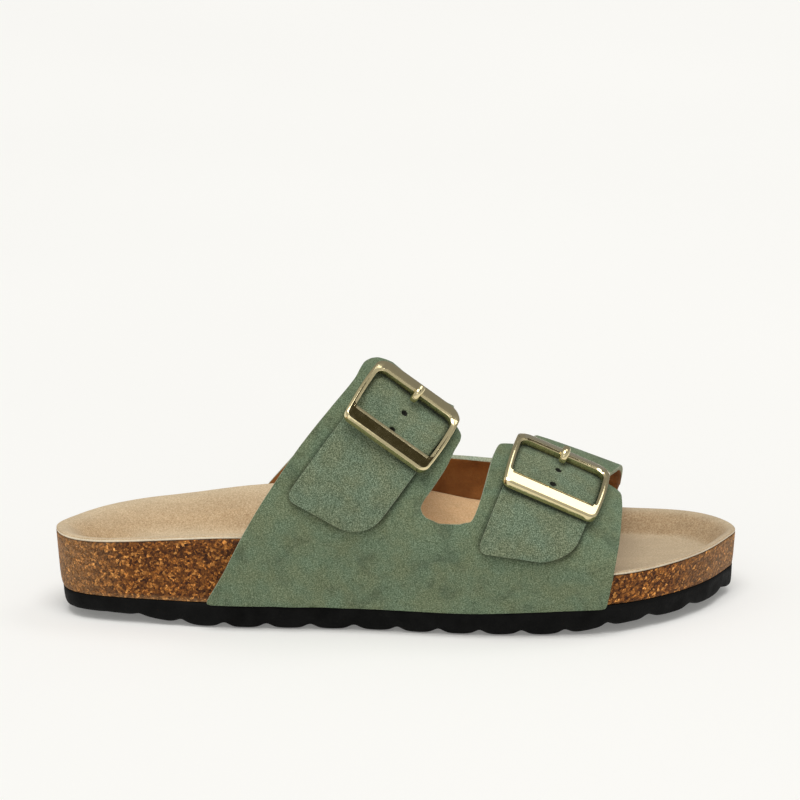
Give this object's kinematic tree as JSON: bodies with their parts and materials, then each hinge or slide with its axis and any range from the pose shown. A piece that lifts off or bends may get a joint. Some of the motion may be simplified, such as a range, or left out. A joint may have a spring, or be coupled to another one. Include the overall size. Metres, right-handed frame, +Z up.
{
  "type": "mule",
  "caption": "Backless, open-toed mule for a right foot: suede upper with broad buckled straps over a hollowed cork footbed with a suede insole, on a flat lobed rubber sole.",
  "frame": {"origin": "on the floor, under the middle of the shoe's bounding box", "axes": "+X towards the toe, +Y towards the inner (medial) side of the foot, +Z up"},
  "size_m": [0.2582, 0.0998, 0.0987],
  "materials": {
    "sage_suede": "napped suede, matt",
    "cork": "pressed cork granules, sealed",
    "beige_suede": "napped suede, matt",
    "black_rubber": "matt moulded",
    "pale_gold": "polished plating"
  },
  "bodies": {
    "root": {"outsole": "black_rubber", "footbed": "cork", "insole": "beige_suede", "upper": "sage_suede", "strap_end_rear": "sage_suede", "strap_end_front": "sage_suede", "buckle_rear": "pale_gold", "buckle_front": "pale_gold", "prong_rear": "pale_gold", "prong_front": "pale_gold"}
  },
  "joints": []
}
